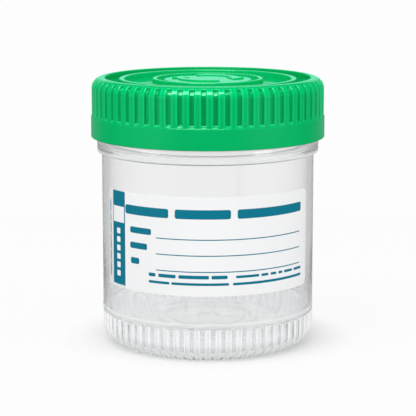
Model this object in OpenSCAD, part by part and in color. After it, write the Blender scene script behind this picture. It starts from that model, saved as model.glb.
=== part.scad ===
// Screw-cap specimen container: a clear moulded jar, a ribbed screw cap and a wrap-round label.
// Millimetres, +Z up, origin at the centre of the jar's foot. The front of the label faces -Y.

/* [Jar] */
// Outer diameter of the jar's body
jar_d = 59.1; // [58.5:0.1:60]
// Height of the jar from its foot to its rim
jar_h = 71.4; // [70.5:0.1:73]
// Thickness of the wall and the floor
wall_t = 1.85; // [1.6:0.05:2]
// Radius of the rounded corner round the foot
corner_r = 5.3; // [5:0.1:5.6]
// Height of the floor's top face above the foot
floor_z = 5.3; // [5:0.1:6]

/* [Flutes round the foot] */
// Number of flutes
flute_n = 64; // [48:2:72]
// Width of one flute
flute_w = 1.55; // [1:0.05:1.7]
// Depth of one flute
flute_depth = 0.5; // [0.3:0.05:0.7]
// Height of the flutes' upper ends
flute_top = 9.2; // [8:0.1:9.4]
// Height of the middle of the ledge above the flutes
ledge_z = 10.5; // [10.4:0.1:12]

/* [Collar and neck] */
// Height at which the collar starts
collar_z = 54.05; // [53:0.05:54.5]
// Height of the collar's flat top
collar_top = 58; // [57.8:0.1:58.1]
// How far the collar stands out of the body
collar_out = 1.3; // [1:0.05:1.35]
// Outer diameter of the neck at the root of its thread
neck_d = 57.9; // [57.7:0.1:58.1]
// How far the jar's thread stands out of the neck
thread_out = 0.8; // [0.5:0.05:0.85]
// Rise of the thread in one turn
thread_pitch = 4.5; // [4:0.1:5]
// Turns of the thread
thread_turns = 1.3; // [1:0.05:1.5]

/* [Screw cap] */
// Outer diameter of the cap's plain band
cap_d = 65; // [64.8:0.1:66]
// Height of the cap's lower edge above the foot
cap_z = 58.3; // [58.2:0.1:58.6]
// Height of the plain band
band_h = 5.6; // [4:0.1:7]
// Thickness of the top plate
plate_t = 1.4; // [1.2:0.05:1.5]
// Height of the cap's rim above its top plate
rim_h = 1.7; // [1.5:0.1:2]
// Radius of the rounded shoulder
shoulder_r = 3; // [2.6:0.1:3.2]

/* [Grip ribs] */
// Number of ribs
rib_n = 64; // [48:2:72]
// Width of the groove between two ribs
groove_w = 1.35; // [1:0.05:1.5]
// Depth of the groove between two ribs
groove_depth = 0.65; // [0.4:0.05:0.75]

/* [Label] */
// Width of the label along its curve
label_w = 69.6; // [50:0.1:80]
// Height of the label
label_h = 26.8; // [20:0.1:30]
// Height of the label's lower edge above the foot
label_z = 18.55; // [14:0.05:22]
// Thickness of the label
label_t = 0.15; // [0.1:0.01:0.3]
// Radius of the label's corners
label_corner = 2; // [1:0.1:4]

/* [Hidden] */
$fn = 192;

jar_r = jar_d / 2;
bore_r = jar_r - wall_t;
neck_r = neck_d / 2;
cap_r = cap_d / 2;
cap_top = jar_h + plate_t + rim_h;
reach = 2;                              // how far a cutter runs past what it cuts

thread_bury = 0.3;                      // how deep a thread's root sits in its wall
thread_foot = 2.4;                      // height of a thread at its root
thread_land = 0.9;                      // height of a thread at its crest
thread_z = collar_top + 4.4;            // height of the middle of the jar's thread where it starts
thread_gap = 0.2;                       // the cap's thread stays this far outside the jar's

// The corner round the foot is an arc about this centre, cut off flat to make the foot ring.
foot_flat = 0.6;
corner_x = jar_r - corner_r;
corner_y = sqrt(corner_r * corner_r - foot_flat * foot_flat);

// Points of an arc about [cx, cy] with radius r, from angle a0 to a1, in n steps.
function arc(cx, cy, r, a0, a1, n) =
    [for (i = [0:n]) let (a = a0 + (a1 - a0) * i / n) [cx + r * cos(a), cy + r * sin(a)]];

// A helical ridge made of tilted ring sectors, each turned about its own middle radius so that its ends
// meet the next ones. section is [radius, height] about the middle of the ridge.
module thread_ridge(section, mean_r, z, pitch, turns) {
    per_turn = 8;
    span = 360 / per_turn;
    overlap = 0.4;
    tilt = atan(pitch / per_turn / (2 * mean_r * sin(span / 2)));
    for (i = [0:round(turns * per_turn) - 1])
        translate([0, 0, z + pitch * i / per_turn])
            rotate(i * span)
                rotate([tilt, 0, 0])
                    rotate(-(span + overlap) / 2)
                        rotate_extrude(angle = span + overlap) polygon(section);
}

// Section of a thread that stands from radius root out to radius crest, or in to it.
function thread_section(root, crest) =
    [[root, -thread_foot / 2], [crest, -thread_land / 2], [crest, thread_land / 2], [root, thread_foot / 2]];

// Copies a child to n equal places round the axis, with the first at -Y.
module round_the_axis(n) {
    for (i = [0:n - 1])
        rotate(360 * i / n - 90) children();
}

// ---- Jar ----

floor_edge_r = 1.2;                     // rounding of the raised floor's edge
floor_slope = 60;                       // slope of the floor's flank, in degrees
moat_r = corner_r - wall_t;             // rounding of the channel between floor and wall
flank_foot = [corner_x - moat_r * sin(floor_slope), corner_y - moat_r * cos(floor_slope)];
flank_rise = floor_z - floor_edge_r * (1 - cos(floor_slope)) - flank_foot[1];
floor_edge_x = flank_foot[0] - flank_rise / tan(floor_slope) - floor_edge_r * sin(floor_slope);
under_x = corner_x - corner_r * sin(floor_slope);
under_y = corner_y - corner_r * cos(floor_slope);
under_top = floor_z - wall_t;

dimple_r = 3.1;
dimple_depth = 0.35;
step_r = 10.3;
step_h = 0.3;
rim_round = 0.4;
ledge_out = 0.15;

jar_section = concat(
    // Underside: push-up, foot ring and rounded corner
    [[0, under_top], [under_x - (under_top - under_y) / tan(floor_slope), under_top]],
    arc(corner_x, corner_y, corner_r, -90 - floor_slope, -90 - asin(foot_flat / corner_r), 5),
    arc(corner_x, corner_y, corner_r, asin(foot_flat / corner_r) - 90, 0, 8),
    // Ledge above the flutes
    [
        [jar_r, ledge_z - 0.7],
        [jar_r + ledge_out, ledge_z - 0.3],
        [jar_r + ledge_out, ledge_z + 0.3],
        [jar_r, ledge_z + 0.7]
    ],
    // Collar with a round underside
    arc(jar_r, collar_z + collar_out, collar_out, -90, 0, 5),
    [[jar_r + collar_out, collar_top - rim_round], [jar_r + collar_out - rim_round, collar_top]],
    // Neck and rim
    [[neck_r, collar_top]],
    arc(neck_r - rim_round, jar_h - rim_round, rim_round, 0, 90, 3),
    arc(bore_r + rim_round, jar_h - rim_round, rim_round, 90, 180, 3),
    // Inside: wall, channel round the floor, raised floor with its rings
    arc(corner_x, corner_y, moat_r, 0, -90 - floor_slope, 10),
    arc(floor_edge_x, floor_z - floor_edge_r, floor_edge_r, 90 - floor_slope, 90, 3),
    [
        [step_r + step_h, floor_z],
        [step_r, floor_z + step_h],
        [dimple_r + dimple_depth, floor_z + step_h],
        [dimple_r, floor_z + step_h - dimple_depth],
        [0, floor_z + step_h - dimple_depth]
    ]
);

// Everything outside the flutes' bottoms, from the foot ring to the flutes' upper ends.
module flute_zone() {
    inner = corner_r - flute_depth;
    start_r = corner_x + foot_flat + 0.1;
    start_a = acos((start_r - corner_x) / inner);
    rotate_extrude()
        polygon(concat(
            [[start_r, -reach]],
            arc(corner_x, corner_y, inner, -start_a, 0, 6),
            [[jar_r - flute_depth, flute_top], [jar_r + reach, flute_top], [jar_r + reach, -reach]]
        ));
}

module flute_bars() {
    round_the_axis(flute_n)
        translate([corner_x, -flute_w / 2, -reach])
            cube([corner_r + reach, flute_w, flute_top + 2 * reach]);
}

module jar() {
    color([0.86, 0.9, 0.91, 0.4])
        union() {
            difference() {
                rotate_extrude() polygon(jar_section);
                intersection() {
                    flute_zone();
                    flute_bars();
                }
            }
            thread_ridge(thread_section(neck_r - thread_bury, neck_r + thread_out), neck_r,
                thread_z, thread_pitch, thread_turns);
        }
}

// ---- Screw cap ----

cap_bore_r = cap_r - 1.65;
edge_r = 0.45;
band_top = cap_z + band_h;
rib_r = cap_r - 0.25;                   // crest of the ribs below the shoulder
shoulder_x = rib_r - shoulder_r;
shoulder_y = cap_top - shoulder_r;
plate_top = jar_h + plate_t;
ring_top = cap_top - 0.35;              // height of both raised rings
rim_in = shoulder_x - 0.8;              // inner edge of the rim
outer_ring = [23.2, 24.65];
inner_ring = [14.2, 15.3];
disc_r = 12.1;
disc_floor = plate_top + 0.35;          // bottom of the groove round the disc
disc_edge = ring_top - 0.35;            // height of the disc at its edge
disc_dome = 0.35;                       // how far the disc rises to its middle
core_r = 11.2;                          // hollow under the disc
core_h = 0.8;
seat_r = 1.5;                           // corner between the bore and the plate
plug_r = bore_r - 0.25;                 // clearance to the jar's bore
plug_t = 1.15;
plug_h = 2.3;
lead_in = 0.4;

// The section of a raised ring between two floors, from its outer foot to its inner foot.
function ring_section(radii, top, outer_floor, inner_floor) = concat(
    [[radii[1] + 0.1, outer_floor]],
    arc(radii[1] - 0.3, top - 0.3, 0.3, 0, 90, 3),
    arc(radii[0] + 0.3, top - 0.3, 0.3, 90, 180, 3),
    [[radii[0] - 0.1, inner_floor]]
);

cap_section = concat(
    // Lower edge, band and ribbed wall
    [[cap_bore_r, cap_z + 0.3], [cap_bore_r + 0.3, cap_z]],
    arc(cap_r - edge_r, cap_z + edge_r, edge_r, -90, 0, 4),
    [[cap_r - 0.05, band_top - 0.1], [rib_r + 0.1, band_top]],
    // Shoulder and rim
    arc(shoulder_x, shoulder_y, shoulder_r, 0, 90, 8),
    arc(rim_in + edge_r, cap_top - edge_r, edge_r, 90, 180, 4),
    [[rim_in - 0.1, plate_top + 0.3], [rim_in - 0.4, plate_top]],
    // Rings, groove and domed disc
    ring_section(outer_ring, ring_top, plate_top, plate_top),
    ring_section(inner_ring, ring_top, plate_top, disc_floor),
    [[disc_r + 0.1, disc_floor], [disc_r, disc_edge - 0.2]],
    [for (i = [0:6]) let (r = (disc_r - 0.2) * (1 - i / 6)) [r, disc_edge + disc_dome * (1 - pow(1 - i / 6, 2))]],
    // Underside: hollow, plate, plug ring and bore
    [
        [0, jar_h + core_h],
        [core_r, jar_h + core_h],
        [core_r + 0.4, jar_h],
        [plug_r - plug_t - 0.2, jar_h],
        [plug_r - plug_t, jar_h - plug_h + lead_in],
        [plug_r - plug_t + lead_in, jar_h - plug_h],
        [plug_r - lead_in, jar_h - plug_h],
        [plug_r, jar_h - plug_h + lead_in],
        [plug_r, jar_h],
        [cap_bore_r - seat_r, jar_h],
        [cap_bore_r, jar_h - seat_r]
    ]
);

groove_end = shoulder_x + 1.45;         // radius at which the grooves end on the shoulder

// Everything outside the grooves' bottoms, from the band's upper edge over the shoulder.
module groove_zone() {
    inner = shoulder_r - groove_depth;
    end_a = acos((groove_end - shoulder_x) / inner);
    rotate_extrude()
        polygon(concat(
            [[cap_r + reach, band_top - groove_depth], [cap_r - 0.1, band_top]],
            [[rib_r - groove_depth, band_top + groove_depth]],
            arc(shoulder_x, shoulder_y, inner, 0, end_a, 6),
            [[groove_end, cap_top + reach], [cap_r + reach, cap_top + reach]]
        ));
}

// One groove is a slot with a round inner end.
module groove_bars() {
    round_the_axis(rib_n)
        rotate(180 / rib_n)
            translate([groove_end, 0, band_top - reach])
                linear_extrude(cap_top - band_top + 2 * reach) {
                    translate([groove_w / 2, 0]) circle(d = groove_w, $fn = 32);
                    translate([groove_w / 2, -groove_w / 2]) square([shoulder_r + reach, groove_w]);
                }
}

arrow_r = 7.4;
arrow_w = 1.7;
arrow_sweep = 112;
arrow_h = 0.25;                         // height of an arrow above the disc's middle

// A low curved arrow on the disc that shows the closing turn.
module turn_arrow() {
    translate([0, 0, disc_edge]) {
        rotate_extrude(angle = arrow_sweep)
            translate([arrow_r - arrow_w / 2, 0]) square([arrow_w, disc_dome + arrow_h]);
        linear_extrude(disc_dome + arrow_h)
            polygon([[arrow_r - 2, 0], [arrow_r + 2, 0], [arrow_r, -3]]);
    }
}

module screw_cap() {
    color([0.02, 0.68, 0.38])
        union() {
            difference() {
                rotate_extrude() polygon(cap_section);
                intersection() {
                    groove_zone();
                    groove_bars();
                }
            }
            turn_arrow();
            rotate(180) turn_arrow();
            thread_ridge(thread_section(cap_bore_r + thread_bury, neck_r + thread_out + thread_gap),
                cap_bore_r, thread_z - thread_pitch / 2, thread_pitch, thread_turns);
        }
}

// ---- Label ----

label_angle = label_w / jar_r * 180 / PI;

// What is cut off one corner of the label: a square on the radius, less its rounded corner. The arc stops
// just short of the label's edges, so that the cut leaves through them at an angle.
module label_corner_cut(side, up) {
    corner_a = -90 + side * (label_angle / 2 - label_corner / jar_r * 180 / PI);
    corner_z = label_z + label_h / 2 + up * (label_h / 2 - label_corner);
    far = label_corner + 0.5;
    outline = concat(arc(0, 0, label_corner, 3, 87, 6), [[0, far], [far, far], [far, 0]]);
    rotate(corner_a)
        translate([jar_r - reach, 0, corner_z])
            rotate([90, 0, 90])
                linear_extrude(2 * reach)
                    polygon([for (p = outline) [side * p[0], up * p[1]]]);
}

module label() {
    color([0.97, 0.97, 0.97])
        difference() {
            rotate(-90 - label_angle / 2)
                rotate_extrude(angle = label_angle)
                    translate([jar_r, label_z]) square([label_t, label_h]);
            for (side = [-1, 1], up = [-1, 1])
                label_corner_cut(side, up);
        }
}

jar();
screw_cap();
label();
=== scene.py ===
import math

import bpy
import numpy as np
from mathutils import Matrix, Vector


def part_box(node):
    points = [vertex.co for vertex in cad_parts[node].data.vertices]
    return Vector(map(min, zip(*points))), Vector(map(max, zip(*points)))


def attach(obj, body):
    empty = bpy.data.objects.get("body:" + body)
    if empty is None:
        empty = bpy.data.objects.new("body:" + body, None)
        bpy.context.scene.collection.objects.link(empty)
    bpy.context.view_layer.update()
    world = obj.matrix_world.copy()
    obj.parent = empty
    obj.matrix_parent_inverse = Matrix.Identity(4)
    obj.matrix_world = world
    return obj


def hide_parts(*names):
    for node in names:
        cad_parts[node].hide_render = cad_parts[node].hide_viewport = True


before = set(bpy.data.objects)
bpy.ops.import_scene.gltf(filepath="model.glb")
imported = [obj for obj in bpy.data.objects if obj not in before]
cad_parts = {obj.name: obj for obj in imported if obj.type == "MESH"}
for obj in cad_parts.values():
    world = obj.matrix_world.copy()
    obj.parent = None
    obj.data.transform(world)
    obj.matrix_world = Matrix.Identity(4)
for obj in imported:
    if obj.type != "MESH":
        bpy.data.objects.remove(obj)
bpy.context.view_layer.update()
mm = 0.001  # lengths below are in millimetres, and meshes are in metres


def nodeBox(node):
    # a CAD node's lowest and highest corners, to a thousandth of a millimetre
    return [np.round(np.array(corner) / mm, 3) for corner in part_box(node)]


jarHigh = nodeBox("jar")[1]
capHigh = nodeBox("screw_cap")[1]
labelLow, labelHigh = nodeBox("label")
print("frame loaded:", ", ".join(sorted(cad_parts)))


def ramp(value, low, high):
    # 0 below low, 1 above high, and a smooth S between
    share = np.clip((value - low) / (high - low), 0, 1)
    return share * share * (3 - 2 * share)


def between(value, rise, fall):
    # rises from 0 to 1 over the first stretch and falls back to 0 over the second
    return ramp(value, *rise) * (1 - ramp(value, *fall))


def wallRows(radius, heights):
    # plain points up a wall, each a corner without a radius
    return [[radius, height, 0, 0] for height in heights]


def roundedPath(corners, guard=0.12):
    # straight stretches between corners [r, z, radius, steps]; a corner with a radius becomes the arc of a
    # circle that touches both stretches, with one more point on each stretch just before the arc
    corner = np.array(corners, float)
    pieces = [corner[:1, :2]]
    for before, here, after in zip(corner[:-2], corner[1:-1], corner[2:]):
        middle, radius, steps = here[:2], here[2], int(here[3])
        if radius == 0:
            pieces.append(middle[None])
            continue
        back, ahead = before[:2] - middle, after[:2] - middle
        back, ahead = back / np.linalg.norm(back), ahead / np.linalg.norm(ahead)
        half = math.acos(np.clip(back @ ahead, -1, 1)) / 2
        run = radius / math.tan(half)
        centre = middle + (back + ahead) / np.linalg.norm(back + ahead) * radius / math.sin(half)
        first, last = middle + back * run - centre, middle + ahead * run - centre
        turn = math.pi - 2 * half
        share = np.linspace(0, 1, steps + 1)[:, None]
        curve = (np.sin((1 - share) * turn) * first + np.sin(share * turn) * last) / math.sin(turn)
        entry, leaving = ((middle + side * (run + guard))[None] for side in (back, ahead))
        pieces += [entry, centre + curve, leaving]
    return np.concatenate(pieces + [corner[-1:, :2]])


def outwardNormals(profile):
    # the profile's direction at each point, turned a quarter to the right
    step = np.gradient(profile, axis=0)
    step /= np.linalg.norm(step, axis=1)[:, None] + 1e-12
    return np.stack([step[:, 1], -step[:, 0]], 1)


def turnAngles(count, offsets, radius):
    # the same offsets, in millimetres along a circle of this radius, in each of count periods of a turn
    period = 2 * math.pi / count
    return (np.arange(count)[:, None] * period + np.array(offsets) / radius).ravel()


def fromMiddle(angles, count):
    # each angle's distance from the nearest of count middles round the turn
    period = 2 * math.pi / count
    return (angles + period / 2) % period - period / 2


def turned(profile, angles, inset):
    # each profile point, moved in along its normal by inset, turned to every angle
    moved = profile[:, None, :] - inset[..., None] * outwardNormals(profile)[:, None, :]
    radius, height = moved[..., 0], moved[..., 1]
    return np.stack([radius * np.cos(angles), radius * np.sin(angles), height], -1)


def meshPiece(name, points, faces, material):
    mesh = bpy.data.meshes.new(name)
    mesh.from_pydata(points * mm, [], faces)
    mesh.polygons.foreach_set("use_smooth", np.full(len(mesh.polygons), True))
    mesh.materials.append(material)
    piece = bpy.data.objects.new(name, mesh)
    bpy.context.scene.collection.objects.link(piece)
    return piece


def gridFaces(rows, columns, closed, start=0):
    # quads between neighbouring rows and columns, also between the last column and the first if closed
    row = np.arange(rows - 1)[:, None] * columns + start
    column = np.arange(columns if closed else columns - 1)
    ahead = (column + 1) % columns
    corners = [row + column, row + ahead, row + columns + ahead, row + columns + column]
    return np.stack(corners, -1).reshape(-1, 4)


stride = 3  # outside its fine rows, a turned surface keeps one column in this many


def gathered(grid, fineRows):
    # the points of a turned grid in the order of its mesh: three bands, and the two poles last
    start, stop = fineRows
    bands = [grid[1:start, ::stride], grid[start:stop], grid[stop:-1, ::stride]]
    return np.concatenate([band.reshape(-1, grid.shape[2]) for band in bands] + [grid[0, :1], grid[-1, :1]])


def closedTurning(name, grid, fineRows, material, **attributes):
    # a turned surface whose first and last rows are single points on the axis; a ring of wider faces joins
    # the fine rows to the others; each attribute is a number at every point, for the material to read
    start, stop = fineRows
    columns = grid.shape[1]
    few = columns // stride
    points = gathered(grid, fineRows)
    middle = (start - 1) * few
    upper = middle + (stop - start) * columns
    first, last = len(points) - 2, len(points) - 1
    faces = gridFaces(start - 1, few, True).tolist()
    faces += gridFaces(stop - start, columns, True, middle).tolist()
    faces += gridFaces(len(grid) - 1 - stop, few, True, upper).tolist()
    coarse = np.arange(few)[:, None]
    ahead = (coarse + 1) % few
    fine = (coarse * stride + np.arange(stride + 1)) % columns
    faces += np.hstack([middle - few + coarse, middle - few + ahead, middle + fine[:, ::-1]]).tolist()
    faces += np.hstack([upper - columns + fine, upper + ahead, upper + coarse]).tolist()
    faces += np.hstack([np.full((few, 1), first), ahead, coarse]).tolist()
    faces += np.hstack([first - few + coarse, first - few + ahead, np.full((few, 1), last)]).tolist()
    piece = meshPiece(name, points, faces, material)
    for key, amounts in attributes.items():
        values = gathered(np.broadcast_to(amounts, grid.shape[:2])[..., None], fineRows).ravel()
        stored = piece.data.attributes.new(key, "FLOAT", "POINT")
        stored.data.foreach_set("value", values.astype(np.float32))
    return piece


def newMaterial(name):
    material = bpy.data.materials.new(name)
    material.use_nodes = True
    material.node_tree.nodes.clear()
    return material, material.node_tree


def addNode(tree, kind, inputs=None, **settings):
    # each input is given a value, or is joined to another node's output
    node = tree.nodes.new(kind)
    for key, value in settings.items():
        setattr(node, key, value)
    for key, value in (inputs or {}).items():
        if isinstance(value, bpy.types.NodeSocket):
            tree.links.new(value, node.inputs[key])
        else:
            node.inputs[key].default_value = value
    return node


def compute(tree, operation, *values, **settings):
    # the result of one Math node
    node = addNode(tree, "ShaderNodeMath", dict(enumerate(values)), operation=operation, **settings)
    return node.outputs["Value"]


def mapped(tree, value, results, span=(0, 1), kind="LINEAR"):
    # goes from the first result to the second while value crosses span
    node = addNode(tree, "ShaderNodeMapRange", {
        "Value": value, "From Min": span[0], "From Max": span[1], "To Min": results[0], "To Max": results[1]},
        interpolation_type=kind)
    return node.outputs["Result"]


def mixedShader(tree, share, first, second):
    # the first shader where share is 0, the second where it is 1
    return addNode(tree, "ShaderNodeMixShader", {"Fac": share, 1: first, 2: second}).outputs["Shader"]


def mixedColour(tree, share, first, second):
    node = addNode(tree, "ShaderNodeMix", {"Factor": share, "A": first, "B": second}, data_type="RGBA")
    return node.outputs["Result"]


def attribute(tree, name):
    return addNode(tree, "ShaderNodeAttribute", attribute_name=name).outputs["Fac"]


def noise(tree, stretch, detail):
    # noise on Object coordinates, with grains as long as stretch, in millimetres, along each axis
    place = addNode(tree, "ShaderNodeTexCoord")
    scale = addNode(tree, "ShaderNodeMapping", {
        "Vector": place.outputs["Object"], "Scale": [1 / mm / length for length in stretch]})
    pattern = {"Vector": scale.outputs["Vector"], "Scale": 1, "Detail": detail}
    return addNode(tree, "ShaderNodeTexNoise", pattern).outputs["Fac"]


def bumps(tree, height, strength, depth):
    inputs = {"Strength": strength, "Distance": depth * mm, "Height": height}
    return addNode(tree, "ShaderNodeBump", inputs).outputs["Normal"]


clearPlastic = dict(
    tint=(1, 1, 1, 1), ior=1.52, roughness=0.05,
    streak=(4, 4, 60), streakStrength=0.5, streakHeight=0.0015,
    smoke=14, smokeColour=(0.0, 0.03, 0.05, 1),   # light lost inside the wall
    footTint=(0.908, 0.914, 0.919, 1), footIor=1.2,
    brinkTint=(0.5, 0.505, 0.51, 1),              # painted contact shadow on the foot's lowest edge, next to the floor
    haze=0.01, hazeColour=(0.9, 0.905, 0.91, 1),  # cloudiness everywhere, on top of "frost"
    milky=0.25,                                   # share of the cloudiness that lets light on
    shadow=(0.96, 0.962, 0.963, 1),
)


def makeClearPlastic():
    # a refracting wall; where "calm", a tinted one that light crosses straight and whose outer face mirrors;
    # a painted contact shadow darkens that one at the foot's lowest edge, and "frost" clouds both, its white
    # on the flutes' edges a painted highlight; a shadow's light crosses every wall straight
    material, tree = newMaterial("clear_plastic")
    ripple = bumps(tree, noise(tree, clearPlastic["streak"], 2), clearPlastic["streakStrength"],
                   clearPlastic["streakHeight"])
    refracting = addNode(tree, "ShaderNodeBsdfPrincipled", {
        "Base Color": clearPlastic["tint"], "Roughness": clearPlastic["roughness"],
        "IOR": clearPlastic["ior"], "Transmission Weight": 1, "Normal": ripple})
    # painted contact shadow: a darker tint where the foot meets the floor
    tint = mixedColour(tree, attribute(tree, "brink"), clearPlastic["footTint"], clearPlastic["brinkTint"])
    straight = addNode(tree, "ShaderNodeBsdfTransparent", {"Color": tint})
    gloss = addNode(tree, "ShaderNodeBsdfGlossy", {"Roughness": clearPlastic["roughness"]})
    fresnel = addNode(tree, "ShaderNodeFresnel", {"IOR": clearPlastic["footIor"]})
    facing = addNode(tree, "ShaderNodeNewGeometry")
    outside = compute(tree, "SUBTRACT", 1, facing.outputs["Backfacing"])
    mirrored = compute(tree, "MULTIPLY", outside, fresnel.outputs["Fac"])
    calm = mixedShader(tree, mirrored, straight.outputs["BSDF"], gloss.outputs["BSDF"])
    wall = mixedShader(tree, attribute(tree, "calm"), refracting.outputs["BSDF"], calm)
    milk = addNode(tree, "ShaderNodeBsdfTranslucent", {"Color": clearPlastic["hazeColour"]})
    chalk = addNode(tree, "ShaderNodeBsdfDiffuse", {"Color": clearPlastic["hazeColour"]})
    cloud = mixedShader(tree, clearPlastic["milky"], chalk.outputs["BSDF"], milk.outputs["BSDF"])
    haze = compute(tree, "ADD", attribute(tree, "frost"), clearPlastic["haze"])
    hazy = mixedShader(tree, haze, wall, cloud)
    path = addNode(tree, "ShaderNodeLightPath")
    letThrough = addNode(tree, "ShaderNodeBsdfTransparent", {"Color": clearPlastic["shadow"]})
    surface = mixedShader(tree, path.outputs["Is Shadow Ray"], hazy, letThrough.outputs["BSDF"])
    smoke = addNode(tree, "ShaderNodeVolumeAbsorption", {
        "Color": clearPlastic["smokeColour"], "Density": clearPlastic["smoke"]})
    addNode(tree, "ShaderNodeOutputMaterial", {"Surface": surface, "Volume": smoke.outputs["Volume"]})
    return material


greenPlastic = dict(
    colour=(0.001, 0.47, 0.138, 1), darker=(0.001, 0.425, 0.117, 1), gloss=0,
    roughness=(0.05, 0.08), grain=0.25, grainHeight=0.0008,
    hollow=(0.0005, 0.3, 0.075, 1), edge=(0.004, 0.68, 0.22, 1),  # colours of the painted shade in hollows and of the painted highlight on ribs' edges
    shineIor=2,
    shine=[  # colour of what is mirrored, from a face seen squarely to one seen at a glance
        (0.12, (0.42, 1, 0.74, 1)), (0.42, (0.45, 1, 0.84, 1)), (0.8, (0.2, 1, 0.68, 1))],
    dullShine=0.15,                                               # share of the shine kept under the recesses' painted shade
    broadShine=(0.001, 0.9, 0.32, 1), broadShare=0.07, broadRoughness=0.5,
)
whitePrint = dict(
    colour=(0.815, 0.82, 0.828, 1), darker=(0.79, 0.795, 0.802, 1), gloss=0.5,
    roughness=(0.36, 0.46), grain=0.4, grainHeight=0.004,
    glow=0.3,                                                     # painted glow on the film's inner face, standing in for light let through it
)
tealPrint = dict(
    colour=(0.001, 0.168, 0.25, 1), darker=(0.001, 0.155, 0.23, 1), gloss=0.15,
    roughness=(0.36, 0.48), grain=0.4, grainHeight=0.003,
)


def addShine(tree, look, surface, roughness, normal):
    # what the plastic mirrors takes a tint: a sharp layer that grows as a face turns away, less of it in the
    # recesses, where a painted shade dims it, and a thin broad layer over it
    share = addNode(tree, "ShaderNodeFresnel", {"IOR": look["shineIor"], "Normal": normal}).outputs["Fac"]
    tinted = addNode(tree, "ShaderNodeValToRGB", {"Fac": share})
    stops = tinted.color_ramp.elements
    stops.new(0.5)
    for stop, (position, tint) in zip(stops, look["shine"]):
        stop.position, stop.color = position, tint
    mirror = addNode(tree, "ShaderNodeBsdfGlossy", {
        "Color": tinted.outputs["Color"], "Roughness": roughness, "Normal": normal})
    kept = mapped(tree, attribute(tree, "dull"), (1, look["dullShine"]))
    sharp = mixedShader(tree, compute(tree, "MULTIPLY", kept, share), surface, mirror.outputs["BSDF"])
    broad = addNode(tree, "ShaderNodeBsdfGlossy", {
        "Color": look["broadShine"], "Roughness": look["broadRoughness"]})
    return mixedShader(tree, look["broadShare"], sharp, broad.outputs["BSDF"])


def addGlow(tree, surface, strength):
    # painted light: faces turned towards the axis glow, as a thin white film lit from the front would
    place = addNode(tree, "ShaderNodeTexCoord")
    facing = addNode(tree, "ShaderNodeNewGeometry")
    outward = addNode(tree, "ShaderNodeVectorMath", {
        0: place.outputs["Object"], 1: facing.outputs["Normal"]}, operation="DOT_PRODUCT")
    isInner = compute(tree, "LESS_THAN", outward.outputs["Value"], 0)
    glow = addNode(tree, "ShaderNodeEmission", {"Strength": compute(tree, "MULTIPLY", isInner, strength)})
    return addNode(tree, "ShaderNodeAddShader", {0: surface, 1: glow.outputs["Emission"]}).outputs["Shader"]


moulded = dict(ior=1.49, drift=(14, 14, 14), bumpStrength=0.4)  # shared by plastic, film and ink


def makeMoulded(name, look):
    # an opaque plastic or ink: its colour drifts a little towards darker, takes a painted shade where
    # "hollow" is set and a painted highlight where "edge" is set, if the look has them, and a fine grain
    # breaks up its gloss
    material, tree = newMaterial(name)
    tone = mixedColour(tree, noise(tree, moulded["drift"], 3), look["colour"], look["darker"])
    for key in ("hollow", "edge"):
        if key in look:
            tone = mixedColour(tree, attribute(tree, key), tone, look[key])
    grain = noise(tree, [look["grain"]] * 3, 4)
    roughness = mapped(tree, grain, look["roughness"])
    normal = bumps(tree, grain, moulded["bumpStrength"], look["grainHeight"])
    body = addNode(tree, "ShaderNodeBsdfPrincipled", {
        "Base Color": tone, "Roughness": roughness, "Normal": normal,
        "IOR": moulded["ior"], "Specular IOR Level": look["gloss"]})
    surface = body.outputs["BSDF"]
    if "shine" in look:
        surface = addShine(tree, look, surface, roughness, normal)
    if "glow" in look:
        surface = addGlow(tree, surface, look["glow"])
    addNode(tree, "ShaderNodeOutputMaterial", {"Surface": surface})
    return material


filmLook = dict(sheen=(0.9, 0.91, 0.92, 1), roughness=0.3, share=(0.24, 0.36), cloud=(3, 3, 6))


def makeFilm():
    # a thin clear film: mostly straight through, with a soft white sheen in clouds
    material, tree = newMaterial("label_clear")
    straight = addNode(tree, "ShaderNodeBsdfTransparent")
    sheen = addNode(tree, "ShaderNodeBsdfPrincipled", {
        "Base Color": filmLook["sheen"], "Roughness": filmLook["roughness"]})
    share = mapped(tree, noise(tree, filmLook["cloud"], 3), filmLook["share"])
    surface = mixedShader(tree, share, straight.outputs["BSDF"], sheen.outputs["BSDF"])
    addNode(tree, "ShaderNodeOutputMaterial", {"Surface": surface})
    return material


clearMaterial = makeClearPlastic()
greenMaterial = makeMoulded("green_plastic", greenPlastic)
whiteFilm = makeMoulded("label_white", whitePrint)
tealInk = makeMoulded("teal_ink", tealPrint)
clearFilm = makeFilm()
print("materials made")


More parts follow.
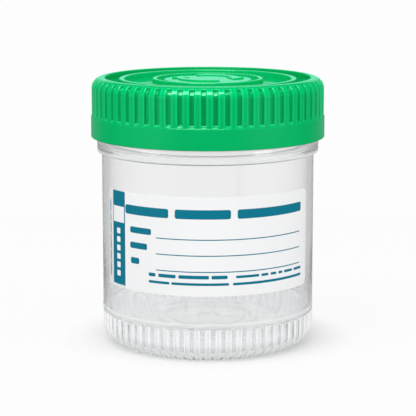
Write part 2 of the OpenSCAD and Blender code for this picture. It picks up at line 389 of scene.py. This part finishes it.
jar = dict(
    radius=29.55, wall=1.85, corner=5.3, floor=5.3,
    neckRadius=28.95, collarRadius=jarHigh[0], collar=(54.0, 58.0), top=jarHigh[2],
    ledge=(9.9, 1.2, 0.15),                # lower end, height and how far it stands out
    rings=(19.2, 11.05, 0.5, 4, 0.225),    # first and last radius, height, pitch, and the step between rows
    neckRows=(58.8, 70.7, 0.3),            # lowest and highest height, and the step between them
    calmTop=(9.3, 9.9),                    # heights between which the calm foot turns into refracting wall
    calmInside=(21.9, 22.3), calmOutside=(16, 19),  # radii between which it begins, on each of its faces
    brink=(0.3, 1.3),                      # heights over which the painted contact shadow on the foot's lowest edge fades out
    flutes=64, landHalf=0.62, crown=0.1, fluteDepth=0.5, fluteTop=9.2, fluteStart=24.95,
    fluteSide=(-0.06, 0.14),               # where a flute's side begins and ends, from the edge of the land
    foot=24.7, aboveFlutes=9.6,            # radius and height between which the flutes lie
    columns=(0, 0.35, 0.58, 0.74, 0.86, 1.15, 1.45, 1.751, 2.041, 2.161, 2.321, 2.551),  # from mid land
    threadStart=62.4, threadPitch=4.5, threadTurns=1.3, threadTaper=0.03,
    threadOut=0.8, threadFoot=1.2, threadLand=0.45,
    # cloudiness of the lands, of the flutes' edges, where its white is a painted highlight, and of the inside
    landFrost=0.42, edgeFrostHighlight=0.9, insideFrost=0.12,
    footFrost=(0.35, 0.15),                # near the floor, on the lands and in the flutes
    frost=[  # radius, height, reach and amount of each ring where the wall is cloudy
        # on the floor's step edges the cloudy white is a painted highlight, and over the collar's lower
        # fillet it is painted light on a line that would read dark
        (29.7, 10.5, 0.9, 0.35), (20.3, 5.1, 1.2, 0.3), (10.45, 5.45, 0.6, 0.3), (3.3, 5.4, 0.6, 0.3),
        (24.2, 1.9, 2.0, 0.12), (30.8, 57.9, 0.6, 0.3), (30.5, 54.4, 1.2, 0.8), (30.8, 55.9, 0.6, 0.3)],
)


def jarProfile():
    # the jar's outline from the middle of its underside, out and up to its rim, and back inside to its floor
    radius, wall, floor, top = jar["radius"], jar["wall"], jar["floor"], jar["top"]
    neck, collar, bore, under = jar["neckRadius"], jar["collarRadius"], radius - wall, floor - wall
    low, high = jar["collar"]
    underside = [[0, under, 0, 0], [19.18, under, 0.4, 4], [21.0, 0.303, 5, 10],
                 [23.65, 0, 0.5, 2], [24.85, 0, 0.5, 2], [radius, 0.536, jar["corner"], 24]]
    fluteEnds = wallRows(radius, (8.7, 8.9, 9.0, 9.1, 9.2, 9.3, 9.4, 9.6))
    start, rise, out = jar["ledge"]
    ledge = [[radius + out * math.sin(math.pi * share) ** 2, start + rise * share, 0, 0]
             for share in np.linspace(0, 1, 9)]
    wide = [[radius, 30, 0, 0], [radius, low - 0.1, 0.2, 3], [collar, low, 0.45, 6]]
    line = [[collar - depth, height, 0, 0]
            for depth, height in ((0, 55.5), (0.06, 55.62), (0.06, 56.2), (0, 56.32))]
    neckRows = wallRows(neck, np.arange(*jar["neckRows"]))
    rim = [[collar, high, 0.4, 4], [neck, high, 0.25, 3], *neckRows, [neck, top, 0.4, 4], [bore, top, 0.4, 4]]
    inside = [[bore, 50, 0, 0], [bore, 20, 0, 0], [bore, wall, jar["corner"] - wall, 14],
              [22.2, wall, 2.2, 8], [20.2, floor, 1.2, 7]]
    first, last, swell, pitch, step = jar["rings"]
    rings = [[r, floor + swell / 2 * (1 - math.cos(2 * math.pi * (first - r) / pitch)), 0, 0]
             for r in np.arange(first, last, -step)]
    middle = [[10.6, floor, 0.15, 2], [10.3, floor + 0.3, 0.15, 2], [3.45, floor + 0.3, 0.15, 2],
              [3.1, floor - 0.05, 0.15, 2], [0, floor - 0.05, 0, 0]]
    path = roundedPath(underside + fluteEnds + ledge + wide + line + rim + inside + rings + middle)
    path[:, 1] = np.maximum(path[:, 1], 0)  # the foot ring's arcs end a hair under the floor
    return path


def fluteDepth(across, r, z):
    # a slight crown on each land, a soft step down at its edges, and soft ends at the foot and at the top
    edge, crown = jar["landHalf"], jar["crown"]
    sideStart, sideEnd = jar["fluteSide"]
    step = (jar["fluteDepth"] - crown) * ramp(across, edge + sideStart, edge + sideEnd)
    start, top = jar["fluteStart"], jar["fluteTop"]
    ends = np.minimum(ramp(r, start, start + 0.8), 1 - ramp(z, top - 0.2, top + 0.15))
    return (crown * np.clip(across / edge, 0, 1) ** 2 + step) * ends


def threadHeight(z, angles):
    # a ridge about a line that climbs by one pitch a turn, followed for two laps; it sinks away at both ends
    turns, taper = jar["threadTurns"], jar["threadTaper"]
    height = 0
    for lap in (0, 1):
        turn = (angles / (2 * math.pi)) % 1 + lap
        away = np.abs(z - jar["threadStart"] - jar["threadPitch"] * turn)
        ends = between(turn, (0, taper), (turns - taper, turns))
        height = np.maximum(height, ends * (1 - ramp(away, jar["threadLand"], jar["threadFoot"])))
    return jar["threadOut"] * height


def jarFrost(across, r, z, onFoot, isInner):
    # the strongest of: lands and flutes' edges, the foot near the floor, the inside's corner, and the rings
    edge, top = jar["landHalf"], jar["fluteTop"]
    onLand = 1 - ramp(across, edge, edge + 0.12)
    # painted highlight: cloudy white along the flutes' sides and upper ends stands in for the highlights on
    # these edges
    sides = between(across, (edge - 0.2, edge - 0.06), (edge + 0.14, edge + 0.24))
    upperEnd = between(z, (top - 0.35, top - 0.15), (top + 0.1, top + 0.25)) * (across > edge)
    fluted = jar["edgeFrostHighlight"] * np.maximum(sides, upperEnd) + jar["landFrost"] * onLand
    lowLand, lowFlute = jar["footFrost"]
    low = lowLand * onLand * (1 - ramp(z, 0.4, 2.4)) + lowFlute * (1 - onLand) * (1 - ramp(z, 1.6, 3.2))
    inside = jar["insideFrost"] * (1 - ramp(z, 7.5, 9.5)) * ramp(r, 19, 21) * isInner
    frost = np.maximum(np.maximum(fluted * (z < jar["aboveFlutes"]), low) * onFoot, inside)
    for radius, height, reach, amount in jar["frost"]:
        away = np.hypot(r - radius, z - height)
        frost = np.maximum(frost, amount * (1 - ramp(away, 0.3 * reach, reach)))
    return frost


def makeJar():
    # the jar's outline turned about the axis, moved in by the flutes' depth and out by the thread's height
    profile = jarProfile()
    angles = turnAngles(jar["flutes"], jar["columns"], jar["radius"])
    r, z = profile[:, :1], profile[:, 1:]
    order = np.arange(len(profile))[:, None]
    rim = np.argmax(z)
    isOuter, isInner = order < rim, order > rim
    onFoot = isOuter & (r > jar["foot"])
    onNeck = isOuter & (z > jar["collar"][1] + 0.5) & (z < jar["top"] - 0.4)
    across = np.abs(fromMiddle(angles, jar["flutes"])) * r
    flutes = fluteDepth(across, r, z) * onFoot * (z < jar["aboveFlutes"])
    inset = flutes - threadHeight(z, angles) * onNeck
    nearFoot = np.where(isInner, ramp(r, *jar["calmInside"]), ramp(r, *jar["calmOutside"]))
    calm = (1 - ramp(z, *jar["calmTop"])) * nearFoot
    # painted contact shadow: the foot's lowest rows let less light through, darkest at the floor
    brink = (1 - ramp(z, *jar["brink"])) * onFoot
    fineRows = (int(np.argmax(onFoot)), int(np.argmax(z > jar["aboveFlutes"] - 0.1)) + 1)
    piece = closedTurning(
        "jar_body", turned(profile, angles, inset), fineRows, clearMaterial,
        frost=jarFrost(across, r, z, onFoot, isInner), calm=calm, brink=brink)
    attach(piece, "jar")
    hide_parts("jar")
    return piece


jarPiece = makeJar()
print("jar made:", len(jarPiece.data.vertices), "points")


cap = dict(
    radius=capHigh[0], top=capHigh[2], lowerEdge=58.05, bandTop=63.9, boreRadius=30.85, plate=1.4,
    plugDepth=2.3, hollowHeight=0.8,  # below and above the jar's rim, on which the plate rests
    rings=((24.65, 23.2), (15.3, 14.2)), ringDrop=0.35, discRadius=12.1, discRise=0.35,
    ribs=64, ribRadius=32.25, grooveWidth=1.35, grooveDepth=0.65,
    shoulder=(29.25, 71.5, 3),       # radius and height of its middle, and its own radius
    grooveEnd=30.7,
    ribRows=(64.1, 64.2, 64.3, 64.4, 64.5, 64.6, 64.7, 64.85, 65.2, 67, 69),  # close where grooves begin
    columns=(0, 0.5, 0.56, 0.62, 0.72, 0.8, 0.88, 1.34,
             1.826, 2.286, 2.366, 2.446, 2.546, 2.606, 2.666),  # from a groove's middle
    turnToFront=0.9,                 # degrees that a rib's middle stands to the right of the front
    # strengths of the painted shade in the grooves and of the painted highlight along the ribs' edges
    grooveShade=0.53, ribEdgeHighlight=0.62,
    channel=((24.4, 25), (28.7, 28.9), 0.85),  # radii over which each painted shade comes and goes, and its strength
    ringPlate=((15, 15.6), (23, 23.3), 0.5),
    threadStart=60.15, threadPitch=4.5, threadTurns=1.3, threadTaper=0.05,
    threadRoot=31.1, threadCrest=29.95, threadFoot=1.2, threadLand=0.45,
    arrowRadius=7.6, arrowWidth=2.1, arrowHead=2.4, arrowPoint=3.4, arrowSweep=112,
    arrowFoot=73.6, arrowTop=74.3, arrowBevel=0.15,
)


def raisedRing(radii, top, outerFoot, innerFoot):
    # a ring's outline from its outer foot over its flat top to its inner foot, a little wider at the feet
    outer, inner = radii
    return [[outer + 0.07, outerFoot, 0.15, 2], [outer, top, 0.3, 5],
            [inner, top, 0.3, 5], [inner - 0.07, innerFoot, 0.15, 2]]


def capProfile():
    # the cap's outline from the middle of its underside, down its plug ring and bore, and up over its ribs
    seat, top, band, low = jar["top"], cap["top"], cap["bandTop"], cap["lowerEdge"]
    radius, rib, bore, disc = cap["radius"], cap["ribRadius"], cap["boreRadius"], cap["discRadius"]
    plate, ringTop = seat + cap["plate"], top - cap["ringDrop"]
    discFoot, discEdge = plate + 0.35, ringTop - cap["discRise"]
    hollow, plugEnd = seat + cap["hollowHeight"], seat - cap["plugDepth"]
    underside = [[0, hollow, 0, 0], [11.2, hollow, 0.2, 2], [11.6, seat, 0.2, 2]]
    plug = [[26.1, seat, 0.2, 2], [26.3, plugEnd, 0.4, 3], [27.45, plugEnd, 0.4, 3], [27.45, seat, 0.2, 2]]
    skirt = [[bore, seat, 1.5, 5], [bore, low, 0.2, 3], [radius, low, 0.25, 5],
             [radius - 0.03, band - 0.15, 0.12, 3], [rib, band + 0.02, 0.06, 2]]
    ribRows = wallRows(rib, cap["ribRows"])
    rim = [[rib, top, cap["shoulder"][2], 36], [28.45, top, 0.45, 6], [28.35, plate, 0.35, 4]]
    outerRing, innerRing = cap["rings"]
    rings = raisedRing(outerRing, ringTop, plate, plate) + raisedRing(innerRing, ringTop, plate, discFoot)
    step = [[disc + 0.1, discFoot, 0.15, 2], [disc, discEdge, 0.2, 4]]
    dome = [[r, discEdge + cap["discRise"] * (1 - (r / (disc - 0.2)) ** 2), 0, 0]
            for r in (11, 9.5, 8, 6, 4, 2, 0)]
    return roundedPath(underside + plug + skirt + ribRows + rim + rings + step + dome, guard=0.1)


def grooveShare(across, r, z):
    # 1 in a groove and 0 on a rib; a groove has soft sides, a sloping foot on the band, and an upper end that
    # is a little rounded, where its depth runs out into the shoulder
    half, depth = cap["grooveWidth"] / 2, cap["grooveDepth"]
    side = 1 - ramp(np.abs(across), half - 0.1, half + 0.1)
    middle, height, radius = cap["shoulder"]
    end = cap["grooveEnd"] + 0.35 * (half - np.sqrt(np.clip(half ** 2 - across ** 2, 0, None)))
    slope = np.clip((r - middle) / radius, 0.02, 1)
    upper = np.where(z > height, (radius - (end - middle) / slope) / depth, 1)
    foot = (z - cap["bandTop"] - 0.08) / depth
    return np.minimum(np.minimum(side, ramp(upper, -0.05, 1.05)), ramp(foot, -0.02, 1.1))


def makeCap():
    # the cap's outline turned about the axis, with the grooves let in along its normals
    profile = capProfile()
    angles = turnAngles(cap["ribs"], cap["columns"], cap["ribRadius"])
    r, z = profile[:, :1], profile[:, 1:]
    order = np.arange(len(profile))[:, None]
    rim = len(profile) - 1 - np.argmax(profile[::-1, 1] > cap["top"] - 0.01)
    isOuter, isTop = (order > np.argmax(r > cap["radius"] - 0.1)) & (order <= rim), order > rim
    onRibs = isOuter & (z > cap["bandTop"])
    across = fromMiddle(angles, cap["ribs"]) * r
    groove = grooveShare(across, r, z) * onRibs
    # painted shade: the channel inside the rim and the plate between the rings are coloured darker, as if in
    # shade, and mirror less
    shade = 0
    for key, below in (("channel", cap["top"] - 0.05), ("ringPlate", cap["top"] - 0.5)):
        rise, fall, amount = cap[key]
        shade = shade + amount * between(r, rise, fall) * isTop * (z < below)
    half = cap["grooveWidth"] / 2
    # painted highlight: a lighter colour along the ribs' edges
    edge = between(np.abs(across), (half - 0.02, half + 0.1), (half + 0.16, half + 0.36))
    edge = cap["ribEdgeHighlight"] * edge * isOuter * (z > cap["bandTop"] + 0.2) * (r > cap["grooveEnd"] - 0.1)
    turn = math.pi / cap["ribs"] + math.radians(cap["turnToFront"])
    pastGrooves = isOuter & (r < cap["grooveEnd"] - 0.4) & (z > 73)
    fineRows = (int(np.argmax(onRibs)), int(np.argmax(pastGrooves)) + 1)
    # hollow carries the painted shade of grooves, channel and plate, and edge the painted highlight on the
    # ribs' edges; the same shade dims the shine in channel and plate
    piece = closedTurning(
        "cap_shell", turned(profile, angles + turn, cap["grooveDepth"] * groove), fineRows, greenMaterial,
        hollow=np.maximum(cap["grooveShade"] * groove, shade), edge=edge, dull=shade)
    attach(piece, "cap")
    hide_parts("screw_cap")
    return piece


def sweptRidge(name, middles, sections, material):
    # closed cross-sections [along, across] set up at each point of a path, joined in a tube with flat ends
    rows, columns = sections.shape[:2]
    radius, angle, height = (middle[:, None] for middle in middles)
    r = radius + sections[..., 0]
    points = np.stack([r * np.cos(angle), r * np.sin(angle), height + sections[..., 1]], -1)
    faces = gridFaces(rows, columns, True).tolist()
    faces += [list(range(columns))[::-1], list(range((rows - 1) * columns, rows * columns))]
    return meshPiece(name, points.reshape(-1, 3), faces, material)


def makeCapThread():
    # a helix inside the bore: a rounded trapezoid with its root buried in the wall, into which both ends sink
    turns, taper = cap["threadTurns"], cap["threadTaper"]
    turn = np.linspace(0, turns, 140)
    ends = between(turn, (0, taper), (turns - taper, turns))
    root, foot, land = cap["threadRoot"], cap["threadFoot"], cap["threadLand"]
    inward = (root - cap["threadCrest"]) * (0.25 + 0.75 * ends)[:, None]
    shares = np.array([0, 0.86, 1, 1, 0.86, 0])  # of the way from root to crest, at the section's six corners
    heights = np.array([-foot, -land * 1.25, -land * 0.8, land * 0.8, land * 1.25, foot])
    sections = np.stack([-inward * shares, np.broadcast_to(heights, (len(turn), 6))], -1)
    middles = (np.full(len(turn), root), 2 * math.pi * turn, cap["threadStart"] + cap["threadPitch"] * turn)
    piece = sweptRidge("cap_thread", middles, sections, greenMaterial)
    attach(piece, "cap")
    return piece


def makeArrow(name, start):
    # a flat bar bent round the disc, with bevelled edges and a pointed head at the low end of its sweep
    radius, low, high, bevel = cap["arrowRadius"], cap["arrowFoot"], cap["arrowTop"], cap["arrowBevel"]
    headAngles = -cap["arrowPoint"] / radius * np.array([1, 0.9, 0.6, 0.3, 0.02, 0])
    headWidths = cap["arrowHead"] * np.array([0.06, 0.16, 0.43, 0.71, 0.99, 0.99])
    barAngles = np.radians(np.linspace(0.3, cap["arrowSweep"], 40))
    angle = np.concatenate([headAngles, barAngles])
    width = np.concatenate([headWidths, np.full(len(barAngles), cap["arrowWidth"] / 2)])
    across = np.stack([-width, -width, -width + bevel, width - bevel, width, width], -1)
    across[:, 2:4] = np.where(width[:, None] > bevel, across[:, 2:4], 0)
    up = np.broadcast_to([low, high - bevel, high, high, high - bevel, low], across.shape)
    middles = (np.full(len(angle), radius), angle + start, np.zeros(len(angle)))
    piece = sweptRidge(name, middles, np.stack([across, up], -1), greenMaterial)
    piece.data.polygons.foreach_set("use_smooth", np.full(len(piece.data.polygons), False))
    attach(piece, "cap")
    return piece


capPiece = makeCap()
makeCapThread()
makeArrow("turn_arrow_right", 0)
makeArrow("turn_arrow_left", math.pi)
print("cap made:", len(capPiece.data.vertices), "points")


label = dict(
    inner=29.56, outer=-labelLow[1], bottom=labelLow[2], top=labelHigh[2], left=-33.9, right=33.5, corner=2,
    underprint=-25.3,        # where the clear end stops and the white begins
    seam=0.01,               # gap between the two
    whiteColumns=120, clearColumns=24,
    square=0.05,             # rounding of corners that are cut square
    ink=0.01,                # thickness of a printed layer
    lift=0.002, gap=0.001,   # air under the first layer, and between layers
    markStep=0.6,            # about how far apart a mark's columns stand
)
tealMarks = [  # left, right, bottom, top and corner of each mark, along the curve from the front
    (-31.2, -25.35, 19.4, 45.2, 0.05),
    (-25.1, -10.7, 39.5, 42.0, 0.6), (-8.9, 6.2, 39.5, 42.0, 0.6), (8.0, 30.2, 39.5, 42.0, 0.6),
    (-23.2, -15.9, 34.5, 36.2, 0.5), (-23.2, -17.2, 30.3, 32.0, 0.5), (-23.0, -19.9, 26.1, 27.8, 0.5),
    *[(-14.4, 29.6, bottom, bottom + 0.27, 0.05) for bottom in (33.80, 29.48, 25.09)],
    *[(left, right, 23.35, 24.3, 0.25) for left, right in (
        (-16.7, -14.6), (-13.7, -8.7), (-7.9, 0.3), (1.0, 5.3))],
    *[(left, right, 23.45, 24.15, 0.2) for left, right in (
        (7.6, 14.3), (15.0, 17.2), (18.0, 19.9), (20.7, 22.1), (22.8, 26.1), (26.9, 30.4))],
    *[(left, right, 21.55, 22.25, 0.2) for left, right in ((-16.7, -10.5), (-9.9, 5.7), (6.8, 30.4))],
    *[(-33.0, -32.55, bottom, top, 0.1) for bottom, top in (
        (39.0, 42.2), (36.3, 38.5), (33.0, 35.9), (28.6, 32.5), (25.4, 28.2), (21.2, 25.0))],
]
whiteMarks = [
    (-30.9, -25.75, 36.6, 41.0, 0.1),
    *[(-29.15, -27.5, bottom, bottom + 1.55, 0.3) for bottom in 21.7 + 2.35 * np.arange(6)],
]


def patch(left, right, bottom, top, corners, radius, columns, guard=0.04):
    # a rounded rectangle wrapped on a cylinder; each column ends where the corner circles cross it, with one
    # more row just inside each edge
    leftCorner, rightCorner = corners
    edge = 1 - np.cos(np.linspace(0, math.pi / 2, 7))
    middle = np.linspace(left + leftCorner, right - rightCorner, columns)[1:-1]
    across = np.concatenate([left + leftCorner * edge, middle, (right - rightCorner * edge)[::-1]])
    cut = 0
    for corner, inward in ((leftCorner, across - left), (rightCorner, right - across)):
        away = np.clip(corner - inward, 0, corner)
        cut = cut + corner - np.sqrt(corner ** 2 - away ** 2)
    height = np.stack([bottom + cut, bottom + cut + guard, top - cut - guard, top - cut])
    angle = across / radius - math.pi / 2
    return np.stack([np.broadcast_to(radius * np.cos(angle), height.shape),
                     np.broadcast_to(radius * np.sin(angle), height.shape), height], -1)


def wrappedPiece(name, patches, thickness, material):
    # patches side by side in one piece, thickened towards the axis
    points, faces, start = [], [], 0
    for grid in patches:
        rows, columns = grid.shape[:2]
        points.append(grid.reshape(-1, 3))
        faces += gridFaces(rows, columns, False, start).tolist()
        start += rows * columns
    piece = meshPiece(name, np.concatenate(points), faces, material)
    solid = piece.modifiers.new("thickness", "SOLIDIFY")
    solid.thickness = thickness * mm
    solid.offset = -1
    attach(piece, "jar")
    return piece


def printed(name, marks, layer, material):
    # small fields of ink, each layer one ink's thickness further out
    radius = label["outer"] + label["lift"] + layer * (label["ink"] + label["gap"])
    patches = [patch(left, right, bottom, top, (corner, corner), radius,
                     max(3, int((right - left) / label["markStep"])))
               for left, right, bottom, top, corner in marks]
    return wrappedPiece(name, patches, label["ink"], material)


def makeLabel():
    # a clear film to the left, where the bar is printed straight on it, and a white underprint for the rest
    bottom, top, outer, change = label["bottom"], label["top"], label["outer"], label["underprint"]
    corner, square = label["corner"], label["square"]
    white = patch(change, label["right"], bottom, top, (square, corner), outer, label["whiteColumns"])
    clear = patch(label["left"], change - label["seam"], bottom, top, (corner, square), outer,
                  label["clearColumns"])
    film = wrappedPiece("label_film", [white], outer - label["inner"], whiteFilm)
    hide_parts("label")
    wrappedPiece("label_clear", [clear], outer - label["inner"], clearFilm)
    printed("label_print", tealMarks, 1, tealInk)
    printed("label_white", whiteMarks, 2, whiteFilm)


makeLabel()
print("label made")


camera = dict(place=(0.00006, -0.4735, 0.1207), pitch=9.978, lens=147.83, sensor=36, clip=(0.01, 50))


def makeCamera():
    lens = bpy.data.cameras.new("camera")
    lens.lens = camera["lens"]
    lens.sensor_width = camera["sensor"]
    lens.clip_start, lens.clip_end = camera["clip"]
    eye = bpy.data.objects.new("camera", lens)
    eye.location = camera["place"]
    eye.rotation_euler = (math.radians(90 - camera["pitch"]), 0, 0)
    bpy.context.scene.collection.objects.link(eye)
    bpy.context.scene.camera = eye


studio = dict(
    softboxes=[  # name, azimuth, elevation, distance, width, height, watts, and whether surfaces mirror it
        ("overhead", -108, 62, 1.2, 0.9, 0.66, 9.5, True),
        ("left", -154, 18, 1.2, 0.5, 0.9, 5.3, False),
        ("right", -28, 18, 1.2, 0.5, 0.9, 7, False)],
    target=(0, 0, 0.035),               # what the softboxes face
    ambient=0.8,                        # light from all round, for diffuse surfaces
    backdrop=0.985,                     # what the camera sees behind the object
    through=(0.89, 1.0),                # seen through the clear wall towards the front, and towards the back
    backEdge=(0.45, 0.85),              # northward shares of a direction where the back begins and is full
    innerGlint=0.72,                    # seen by light that has been mirrored inside the clear wall
    mirrored=[(0, 0.03), (26, 0.03), (50, 0.15), (72, 0.12), (105, 0.03),
              (150, 0.15), (163, 0.5), (174, 0.95), (180, 1)],  # degrees from the front, strength
    mirroredEdge=(0.25, 0.45),          # upward shares of a direction between which the mirrored light fades
    mirroredAbove=0.05,                 # share of it that is left above
)
paleFloor = dict(
    radius=6000, sides=64, colour=0.55, glow=0.135,
    shadowEnd=(0.027, 0.044),           # metres from the axis over which the shade fades
    shadowKept=0.12,                    # share of it that is left beyond
    horizonEnd=(0.04, 0.25),            # metres over which the rest goes, so that no horizon shows
    diffuse=0.42,                       # what diffuse surfaces receive from it
    through=0.98,                       # seen through the clear wall
    foot=(0.0242, 0.0256),              # metres from the axis where the foot stops covering it
    footShare=0.95,                     # how much of that is seen as through a wall
    mirrored=[(0, 0.03), (26, 0.03), (50, 0.15), (72, 0.12), (105, 0.03),
              (124, 0.12), (137, 0.25), (150, 0.35), (180, 0.4)],
    nearMirrored=0.75, nearEnd=(0.033, 0.05),  # the least that is mirrored at the foot, and where that fades
)


def makeSoftbox(name, azimuth, elevation, distance, width, height, watts, inMirrors):
    lamp = bpy.data.lights.new(name, "AREA")
    lamp.shape = "RECTANGLE"
    lamp.size, lamp.size_y, lamp.energy = width, height, watts
    turn, rise = math.radians(azimuth), math.radians(elevation)
    direction = np.array([math.cos(rise) * math.cos(turn), math.cos(rise) * math.sin(turn), math.sin(rise)])
    box = bpy.data.objects.new(name, lamp)
    box.location = studio["target"] + distance * direction
    box.rotation_euler = (math.pi / 2 - rise, 0, turn + math.pi / 2)
    box.visible_glossy = inMirrors
    bpy.context.scene.collection.objects.link(box)


def strengthAround(tree, vector, stops):
    # a strength that follows stops (degrees from the front, strength) round to the back on either side
    axes = addNode(tree, "ShaderNodeSeparateXYZ", {"Vector": vector})
    toFront = compute(tree, "MULTIPLY", axes.outputs["Y"], -1)
    angle = compute(tree, "ABSOLUTE", compute(tree, "ARCTAN2", axes.outputs["X"], toFront))
    curve = addNode(tree, "ShaderNodeFloatCurve", {"Value": compute(tree, "DIVIDE", angle, math.pi)})
    peak = max(strength for degrees, strength in stops)
    points = curve.mapping.curves[0].points
    for place, (degrees, strength) in enumerate(stops):
        if place < 2:
            points[place].location = (degrees / 180, strength / peak)
        else:
            points.new(degrees / 180, strength / peak)
    for point in points:
        point.handle_type = "VECTOR"
    curve.mapping.update()
    return compute(tree, "MULTIPLY", curve.outputs["Value"], peak)


def seenThrough(tree, path):
    # 1 for a ray that comes out of the clear wall, or was mirrored inside it
    inside = compute(tree, "MULTIPLY", path.outputs["Is Glossy Ray"], path.outputs["Transmission Depth"],
                     use_clamp=True)
    return compute(tree, "MAXIMUM", inside, path.outputs["Is Transmission Ray"])


def mirroredInside(tree, path):
    # 1 for a ray that has been mirrored on its way
    return compute(tree, "MINIMUM", path.outputs["Glossy Depth"], 1)


def makeWorld():
    # each kind of ray meets its own light: diffuse, mirrored, seen through the clear wall, and the camera's
    world = bpy.data.worlds.new("studio")
    bpy.context.scene.world = world
    world.use_nodes = True
    tree = world.node_tree
    tree.nodes.clear()
    path = addNode(tree, "ShaderNodeLightPath")
    direction = addNode(tree, "ShaderNodeTexCoord").outputs["Generated"]
    axes = addNode(tree, "ShaderNodeSeparateXYZ", {"Vector": direction})

    def background(strength):
        inputs = {"Color": (1, 1, 1, 1), "Strength": strength}
        return addNode(tree, "ShaderNodeBackground", inputs).outputs["Background"]

    kept = (1, studio["mirroredAbove"])
    above = mapped(tree, axes.outputs["Z"], kept, studio["mirroredEdge"], "SMOOTHSTEP")
    mirrored = compute(tree, "MULTIPLY", strengthAround(tree, direction, studio["mirrored"]), above)
    back = mapped(tree, axes.outputs["Y"], (0, 1), studio["backEdge"], "SMOOTHSTEP")
    clear = background(mapped(tree, back, studio["through"]))
    through = mixedShader(tree, mirroredInside(tree, path), clear, background(studio["innerGlint"]))
    shader = background(studio["ambient"])
    shader = mixedShader(tree, path.outputs["Is Glossy Ray"], shader, background(mirrored))
    shader = mixedShader(tree, seenThrough(tree, path), shader, through)
    shader = mixedShader(tree, path.outputs["Is Camera Ray"], shader, background(studio["backdrop"]))
    addNode(tree, "ShaderNodeOutputWorld", {"Surface": shader})


def makeFloor():
    # for the camera, diffuse so that it keeps the object's shadow, with a glow that makes up the rest of a
    # pale ground, and fading into the backdrop away from the axis; other kinds of ray meet a plain light
    material, tree = newMaterial("pale_floor")
    path = addNode(tree, "ShaderNodeLightPath")
    place = addNode(tree, "ShaderNodeTexCoord").outputs["Object"]
    distance = addNode(tree, "ShaderNodeVectorMath", {0: place}, operation="LENGTH").outputs["Value"]

    def light(strength):
        return addNode(tree, "ShaderNodeEmission", {"Strength": strength}).outputs["Emission"]

    colour = (paleFloor["colour"],) * 3 + (1,)
    ground = addNode(tree, "ShaderNodeBsdfDiffuse", {"Color": colour}).outputs["BSDF"]
    lit = addNode(tree, "ShaderNodeAddShader", {0: ground, 1: light(paleFloor["glow"])}).outputs["Shader"]
    fade = mapped(tree, distance, (0, 1 - paleFloor["shadowKept"]), paleFloor["shadowEnd"], "SMOOTHSTEP")
    end = mapped(tree, distance, (0, 1), paleFloor["horizonEnd"], "SMOOTHSTEP")
    seen = mixedShader(tree, compute(tree, "MAXIMUM", fade, end), lit, light(studio["backdrop"]))
    straight = light(paleFloor["through"])
    crossedWall = compute(tree, "MINIMUM", path.outputs["Transparent Depth"], 1)
    underFoot = mapped(tree, distance, (paleFloor["footShare"], 0), paleFloor["foot"])
    seen = mixedShader(tree, compute(tree, "MULTIPLY", crossedWall, underFoot), seen, straight)
    near = mapped(tree, distance, (paleFloor["nearMirrored"], 0), paleFloor["nearEnd"])
    mirrored = compute(tree, "MAXIMUM", strengthAround(tree, place, paleFloor["mirrored"]), near)
    through = mixedShader(tree, mirroredInside(tree, path), straight, light(studio["innerGlint"]))
    shader = mixedShader(tree, path.outputs["Is Diffuse Ray"], ground, light(paleFloor["diffuse"]))
    shader = mixedShader(tree, path.outputs["Is Glossy Ray"], shader, light(mirrored))
    shader = mixedShader(tree, seenThrough(tree, path), shader, through)
    shader = mixedShader(tree, path.outputs["Is Camera Ray"], shader, seen)
    addNode(tree, "ShaderNodeOutputMaterial", {"Surface": shader})
    sides = paleFloor["sides"]
    turn = np.linspace(0, 2 * np.pi, sides, endpoint=False)
    points = np.stack([np.cos(turn), np.sin(turn), np.zeros(sides)], -1) * paleFloor["radius"]
    floor = meshPiece("floor", points, [list(range(sides))], material)


makeCamera()
for softbox in studio["softboxes"]:
    makeSoftbox(*softbox)
makeWorld()
makeFloor()
scene = bpy.context.scene
scene.view_settings.view_transform = "Standard"
scene.cycles.max_bounces = 32            # light crosses the jar's wall many times before it leaves
scene.cycles.glossy_bounces = 24
scene.cycles.transmission_bounces = 32
scene.cycles.transparent_max_bounces = 16
print("camera, lamps and floor placed")
